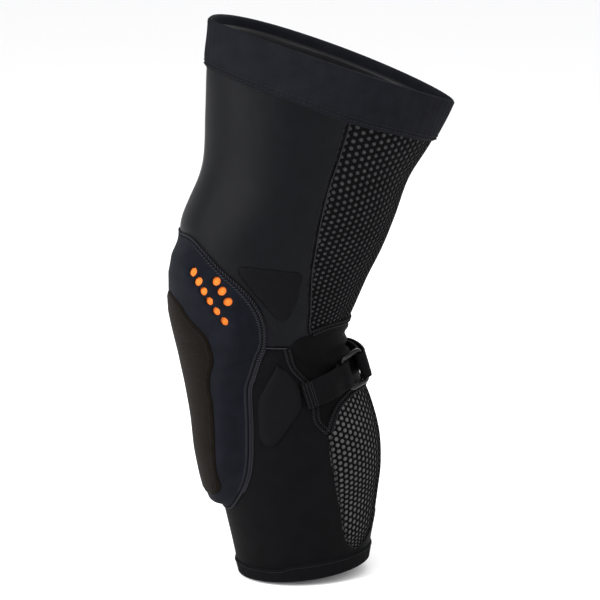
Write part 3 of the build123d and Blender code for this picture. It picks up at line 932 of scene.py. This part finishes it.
def circle(k, degrees, radius, points=28):
    turn = np.arange(points) * 2 * math.pi / points
    width = radius * 0.86
    return np.array([k * PER_STATION, math.radians(degrees) * PER_RADIAN]) + np.stack(
        [radius * np.cos(turn), width * np.sin(turn)], axis=1
    )


hole_loops = [circle(k, degrees, 3.0) for k, degrees in HOLES]


def cover_top(k, t, flat):
    folded = np.stack([flat[:, 0], np.abs(flat[:, 1])], axis=1)
    near = np.full(len(flat), 1e9)
    for hole in hole_loops:
        near = np.minimum(near, distance(folded, hole, closed=True))
    return cover_height(k, t) - 0.55 * np.exp(-((near / 1.3) ** 2))


cover = panel("cover", cover_loop, 2.6, cover_top, 1.5, holes=hole_loops)
place(cover, cover_cloth, "knee", "pad_cover")
cloth(cover)

foam_line = beside(cover_line, -4.0)
if not inside(foam_line[len(foam_line) // 2][None], cover_loop)[0]:
    foam_line = beside(cover_line, 4.0)
foam_line[0, 1] = foam_line[-1, 1] = math.pi * PER_RADIAN
foam_line = foam_line[foam_line[:, 1] <= math.pi * PER_RADIAN + 1e-6]
foam_loop = np.vstack([foam_line, np.linspace(foam_line[-1], foam_line[0], 60)[1:-1]])
foam = panel(
    "foam_pad", foam_loop, 3.2, lambda k, t, flat: np.maximum(cover_height(k, t) - 2.3, 0.3), 0.0,
)
flatten_back(foam, foam_loop, 3.2, 0.05)
place(foam, foam_orange, "knee", "knee_pad")

abrasion_line = smooth(ABRASION_EDGE)
abrasion_loop = np.vstack([abrasion_line, half_turn(ABRASION_EDGE[-1][0], ABRASION_EDGE[0][0])[1:-1]])


def abrasion_top(k, t, flat):
    folded = np.stack([flat[:, 0], np.abs(flat[:, 1])], axis=1)
    edge = distance(folded, abrasion_line)
    return cover_height(k, t) + 0.35 + 0.75 * ramp(edge, 0, 2.2) - 0.25 * np.exp(-((edge - 3.4) / 0.8) ** 2)


abrasion = panel("abrasion", abrasion_loop, 2.6, abrasion_top, 0.3)
place(abrasion, abrasion_cloth, "knee", "abrasion_panel")
cloth(abrasion)
place(
    gather("abrasion_stitches", both_sides(
        stitches, beside(abrasion_line, 3.2)[2:-2], lambda k, t: cover_height(k, t) + 0.95,
        pitch=2.4, length=1.5,
    )),
    dark_thread, "knee",
)

# ---------------------------------------------------------------- seams
FLATLOCK = [
    (-2.8, -0.3), (-2.5, 0.5), (-1.5, 1.0), (-0.7, 0.6), (0, 0.35), (0.7, 0.6), (1.5, 1.0), (2.5, 0.5),
    (2.8, -0.3),
]


def seam(name, line, lift, body, cloth_material, thread_material, node=None, pitch=2.2):
    """A flatlocked seam: a raised tape with a zigzag of thread over it."""
    line = resample(line, 1.8)
    tape = gather(name + "_tape", both_sides(band, line, FLATLOCK, lift))
    place(tape, cloth_material, body, node)
    layout_map(tape, np.zeros((len(tape.data.vertices), 2)))
    rows = []
    for shift, lean in ((-1.5, 0.9), (1.5, -0.9)):
        lifted = (lambda k, t: lift(k, t) + 1.0) if callable(lift) else lift + 1.0
        rows += both_sides(
            stitches, beside(line, shift)[1:-1], lifted, pitch=pitch, length=2.0, lean=lean, radius=0.36,
        )
    place(gather(name + "_stitches", rows), thread_material, body)


def seam_height(k, t):
    return wrinkles(k, t, 0.7) - 0.15


seam(
    "cover_seam", cover_line, lambda k, t: 0.35 - 0.75 * ramp(t_degrees(t), 125, 165), "knee",
    tape_cloth, thread, "cover_binding",
)
seam("pit_seam", pit_line, seam_height, "knee", pit_cloth, dark_thread)
seam("pit_top_seam", pit_top_line, seam_height, "knee", pit_cloth, dark_thread)
seam("calf_top_seam", calf_top_line, -0.1, "shin", shin_cloth, dark_thread)
for name, line in (("calf_edge", calf_edge_line), ("calf_foot", calf_foot_line)):
    rows = both_sides(stitches, beside(line, -1.8)[1:-1], 0.1, pitch=2.6, length=1.7, radius=0.3)
    place(gather(name + "_stitches", rows), dark_thread, "shin")


def piping(name, line, lift, material):
    """A fine raised cord along a seam, on both sides of the leg."""
    parts = []
    for flip in (1, -1):
        k, t = flat_to_form(resample(line, 1.6) * (1, flip))
        parts.append(tube(on_form(k, t, lift(k, t)), 0.42 * MM, sides=8))
    place(gather(name, parts), material, "knee")


piping("rear_piping", rear_line, lambda k, t: wrinkles(k, t, 0.8) + 0.15, dark_thread)
place(
    gather("rear_stitches", both_sides(
        stitches, beside(rear_line, 2.2)[2:-2], lambda k, t: wrinkles(k, t, 0.8) - 0.2, pitch=2.6, length=1.7,
    )),
    dark_thread, "knee",
)
# A raised cord for the thigh panel's folded lower edge; its pale colour is a painted highlight on that edge
piping("side_piping_painted_highlight", foot_line, lambda k, t: wrinkles(k, t, 0.7) + 0.35, thread)
# A raised cord beside the lower cover seam; its pale colour is a painted highlight on the seam's raised edge
cover_rear = cover_line[foot_index:-20]
outward = 3.0 if inside(beside(cover_line, -3.0)[60][None], cover_loop)[0] else -3.0
piping(
    "cover_piping_painted_highlight", beside(cover_rear, outward), lambda k, t: wrinkles(k, t, 0.7) + 0.35,
    thread,
)

# ---------------------------------------------------------------- side pads
for height, outline in (("upper", UPPER_PAD), ("lower", LOWER_PAD)):
    loop = np.vstack([smooth(piece)[:-1] for piece in outline])
    for side, flip in (("outer", 1), ("inner", -1)):
        turned = loop * (1, flip)
        turned = turned[::-1] if flip < 0 else turned

        def pad_top(k, t, flat, edge_loop=turned, high=height):
            edge = distance(flat, edge_loop, closed=True)
            dome = 0.5 + 1.7 * np.sqrt(np.clip(1 - (1 - np.clip(edge / 6.5, 0, 1)) ** 2, 0, 1))
            groove = -0.5 * np.exp(-((edge - 2.6) / 0.55) ** 2)
            ridge = 0.0
            if high == "upper":
                ribs = np.exp(-(((k - 5.3) * PER_STATION) / 6.5) ** 2) * np.sin(flat[:, 0] * 2.6)
                ridge = 0.45 * ribs * ramp(edge, 1, 4)
            return dome + groove + ridge

        pad = panel(f"{height}_{side}_pad", turned, 1.7, pad_top, 0.0, mirror=False)
        flatten_back(pad, turned, 1.7, -0.3, mirror=False)
        place(pad, pad_rubber, "knee", f"{height}_{side}_side_pad")

# ---------------------------------------------------------------- strap and ring
LEAN = math.radians(16.7)
STRAP_ACROSS = np.array([0, -math.sin(LEAN), math.cos(LEAN)])
STRAP_BACK = np.array([0, math.cos(LEAN), math.sin(LEAN)])
STRAP_FROM = np.array([0, 18, -36])
INNER_BAR, OUTER_BAR = np.array([38.5, 32.2]), np.array([30.0, 48.6])


def in_strap(route, across=0.0):
    """Points of the strap's plane in metres, from (x, rearward) and the way across it."""
    route = np.asarray(route, float)
    across = np.broadcast_to(across, len(route))
    along = route[:, :1] * (1, 0, 0) + route[:, 1:] * STRAP_BACK
    return (STRAP_FROM + along + across[:, None] * STRAP_ACROSS) * MM


def curve(points, step=0.8):
    """A smooth line through points of the strap's plane."""
    return smooth([(x / PER_STATION, math.degrees(y / PER_RADIAN)) for x, y in points], step)


def strip(name, route, width, thick, closed=False):
    """A flat strap along a route of its plane, with rounded selvedges."""
    line = np.asarray(route, float)
    if closed:
        run = np.roll(line, -1, axis=0) - np.roll(line, 1, axis=0)
    else:
        run = np.gradient(line, axis=0)
    run /= np.linalg.norm(run, axis=1)[:, None]
    normal = np.stack([-run[:, 1], run[:, 0]], axis=1)
    half, h = width / 2, thick / 2
    section = [
        (-half, 0), (-half + 0.25, 0.7 * h), (-half + 0.8, h), (-half + 2.2, 0.86 * h), (0, h),
        (half - 2.2, 0.86 * h), (half - 0.8, h), (half - 0.25, 0.7 * h), (half, 0), (half - 0.25, -0.7 * h),
        (half - 0.8, -h), (0, -0.9 * h), (-half + 0.8, -h), (-half + 0.25, -0.7 * h),
    ]
    rings, layout = [], []
    along = np.concatenate([[0], np.cumsum(np.linalg.norm(np.diff(line, axis=0), axis=1))])
    for across, out in section:
        rings.append(in_strap(line + normal * out, across))
        layout.append(np.stack([along, np.full(len(line), across)], axis=1))
    verts = np.stack(rings, axis=1).reshape(-1, 3)
    flat = np.stack(layout, axis=1).reshape(-1, 2)
    columns = len(section)
    faces = grid_faces(len(line), columns, close_rows=closed, close_columns=True)
    tris = [faces[:, [0, 1, 2]], faces[:, [0, 2, 3]]]
    if not closed:
        last = (len(line) - 1) * columns
        for j in range(1, columns - 1):
            tris.append(np.array([(0, j + 1, j), (last, last + j, last + j + 1)]))
    obj = mesh_object(name, verts, np.vstack(tris))
    layout_map(obj, flat)
    return obj


def teardrop(bar, way, reach=3.35, start=-90, end=90):
    """The turn of a strap round a bar, from one side of the way it comes in to the other."""
    heading = math.atan2(way[1], way[0])
    turn = np.radians(np.linspace(start, end, 20)) + heading
    return np.asarray(bar) + reach * np.stack([np.cos(turn), np.sin(turn)], axis=1)


def looped(route, bar, ply=1.6):
    """A strap that comes along a route, turns round a bar and lies back on itself."""
    line = curve(route)
    way = line[-1] - line[-4]
    way = way / np.linalg.norm(way)
    run = np.gradient(line, axis=0)
    run /= np.linalg.norm(run, axis=1)[:, None]
    normal = np.stack([-run[:, 1], run[:, 0]], axis=1)
    gone = np.linalg.norm(line - bar, axis=1)
    spread = ply / 2 + 2.55 * np.exp(-((gone - 3.0) / 3.0).clip(0) ** 2)
    near = gone > 2.8
    one = (line - normal * spread[:, None])[near]
    two = (line + normal * spread[:, None])[near]
    return one, teardrop(bar, way), two[::-1]


anchor_route = [(52.4, -5), (52.8, 6), (49.8, 18), (44.1, 26.7), (38.5, 32.2)]
one, turn, two = looped(anchor_route, INNER_BAR)
anchor = strip("anchor_loop", np.vstack([one[one[:, 1] > -20], turn, two]), 20, 1.5)
place(anchor, webbing_cloth, "shin", "strap_anchor_outer")

sewn = []
anchor_line = curve(anchor_route)
for back in (1.2, 3.4, 5.6, 7.8):
    spot = anchor_line[np.argmin(np.abs(anchor_line[:, 1] + 5 - back))]
    spot = spot + (1.65, 0)
    for across in np.arange(-8.6, 8.7, 2.4):
        ends = np.array([across - 0.8, across, across + 0.8])
        sewn.append(tube(in_strap([spot, spot, spot], ends), 0.3 * MM, sides=6))
place(gather("anchor_stitches", sewn), dark_thread, "shin")
bar_gap = float(np.linalg.norm(OUTER_BAR - INNER_BAR))
bar_way = (OUTER_BAR - INNER_BAR) / bar_gap
ring_middle = (INNER_BAR + OUTER_BAR) / 2
half_long, half_tall, corner = bar_gap / 2, 12.35, 3.2
outline = []
for cx, cy, first in ((1, 1, 0), (-1, 1, 90), (-1, -1, 180), (1, -1, 270)):
    for turn_by in np.radians(np.arange(0, 91, 10) + first):
        outline.append((
            cx * (half_long - corner) + corner * math.cos(turn_by),
            cy * (half_tall - corner) + corner * math.sin(turn_by),
        ))
outline = resample(np.array(outline + outline[:1]), 0.9)[:-1]
ring_path = in_strap(ring_middle + outline[:, :1] * bar_way, outline[:, 1])
ring = gather("ring", [tube(ring_path, 1.75 * MM, sides=20, closed=True)])
place(ring, ring_plastic, "ring", "strap_ring")

band_route = [
    (-52.6, -5), (-52.2, 6), (-49, 16), (-41, 28), (-26, 41.2), (-8, 48.8), (10, 50.6), (24.6, 49.0),
]
strap_band = strip("band", curve(band_route), 20, 1.5)
strap_band.data.materials.append(webbing_cloth)
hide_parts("strap_band")
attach(strap_band, "shin")

tail_route = [(-18, 49.0), (-6, 52.8), (10, 54.3), (24.5, 53.3), (28.2, 51.6), (30.0, 48.6)]
tail_line = curve(tail_route)
gone = np.linalg.norm(tail_line - OUTER_BAR, axis=1)
tail_line = tail_line[gone > 4.6]
heading = tail_line[-1] - OUTER_BAR
base = math.atan2(heading[1], heading[0])
wrap = OUTER_BAR + 3.35 * np.stack([
    np.cos(base - np.radians(np.arange(40, 300, 10))), np.sin(base - np.radians(np.arange(40, 300, 10))),
], axis=1)
tail = strip("tail", np.vstack([tail_line, wrap]), 20, 1.5)
place(tail, webbing_cloth, "tail", "strap_tail")


def patch(name, route, ends, shift):
    line = curve(route)
    run = np.gradient(line, axis=0)
    run /= np.linalg.norm(run, axis=1)[:, None]
    line = line + np.stack([-run[:, 1], run[:, 0]], axis=1) * shift
    line = line[(line[:, 0] > ends[0]) & (line[:, 0] < ends[1])]
    return strip(name, line, 17, 0.6)


loop_patch = patch("loop_patch", band_route, (-30, 14), 1.15)
place(loop_patch, hook_cloth, "shin", "strap_loop_field")
hook_patch = patch("hook_patch", tail_route, (-15.5, 3), -1.15)
place(hook_patch, hook_cloth, "tail", "strap_hook_tab")
for name, route, body in (("band_stitches", band_route, "shin"), ("tail_stitches", tail_route, "tail")):
    line = curve(route)
    run = np.gradient(line, axis=0)
    run /= np.linalg.norm(run, axis=1)[:, None]
    line = line + np.stack([-run[:, 1], run[:, 0]], axis=1) * 0.8
    line = line[np.linalg.norm(line - OUTER_BAR, axis=1) > 9]
    pieces = []
    for across in (-8.7, 8.7):
        spots = resample(line, 3.0)
        for a, b in zip(spots[:-1], spots[1:]):
            mid, way = (a + b) / 2, (b - a) / 2
            pieces.append(tube(in_strap([mid - way * 0.6, mid, mid + way * 0.6], across), 0.25 * MM, sides=6))
    place(gather(name, pieces), dark_thread, body)

# ---------------------------------------------------------------- camera, light, floor
floor_z = float(min(corner[2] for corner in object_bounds())) - 0.0005
bpy.ops.mesh.primitive_plane_add(size=14, location=(0, 0, floor_z))
floor = bpy.context.object
floor.name = "floor"
floor_material = bpy.data.materials.new("floor")
floor_material.use_nodes = True
floor_material.node_tree.nodes["Principled BSDF"].inputs["Base Color"].default_value = (0.92, 0.92, 0.93, 1)
floor_material.node_tree.nodes["Principled BSDF"].inputs["Roughness"].default_value = 0.8
floor.data.materials.append(floor_material)
floor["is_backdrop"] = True


def turned(azimuth, elevation):
    a, e = math.radians(azimuth), math.radians(elevation)
    return Vector((math.cos(e) * math.sin(a), -math.cos(e) * math.cos(a), math.sin(e)))


LOOK_AT = Vector((-0.004868, 0.024951, 0.021547))


def aim(obj, azimuth, elevation, far, at=LOOK_AT):
    obj.location = at + turned(azimuth, elevation) * far
    obj.rotation_euler = (at - obj.location).to_track_quat("-Z", "Y").to_euler()
    bpy.context.scene.collection.objects.link(obj)


def softbox(name, azimuth, elevation, far, size, power):
    light = bpy.data.lights.new(name, "AREA")
    light.shape = "RECTANGLE"
    light.size, light.size_y = size
    light.energy = power
    aim(bpy.data.objects.new(name, light), azimuth, elevation, far)


softbox("key", 20, 25, 1.5, (0.28, 1.2), 30)
softbox("fill", 125, 25, 1.6, (0.8, 1.2), 9)
softbox("front", 70, 65, 1.5, (1.0, 0.8), 8)
softbox("rim", -110, 30, 1.6, (0.6, 1.2), 6)
world = bpy.data.worlds.new("studio")
bpy.context.scene.world = world
world.use_nodes = True
world.node_tree.nodes["Background"].inputs["Color"].default_value = (1.0, 1.0, 1.0, 1)
world.node_tree.nodes["Background"].inputs["Strength"].default_value = 1.0
bpy.context.scene.view_settings.view_transform = "Standard"
camera = bpy.data.objects.new("camera", bpy.data.cameras.new("camera"))
camera.data.lens = 172
camera.data.sensor_width = 36
aim(camera, 75, 13.5, 2.15)
bpy.context.scene.camera = camera
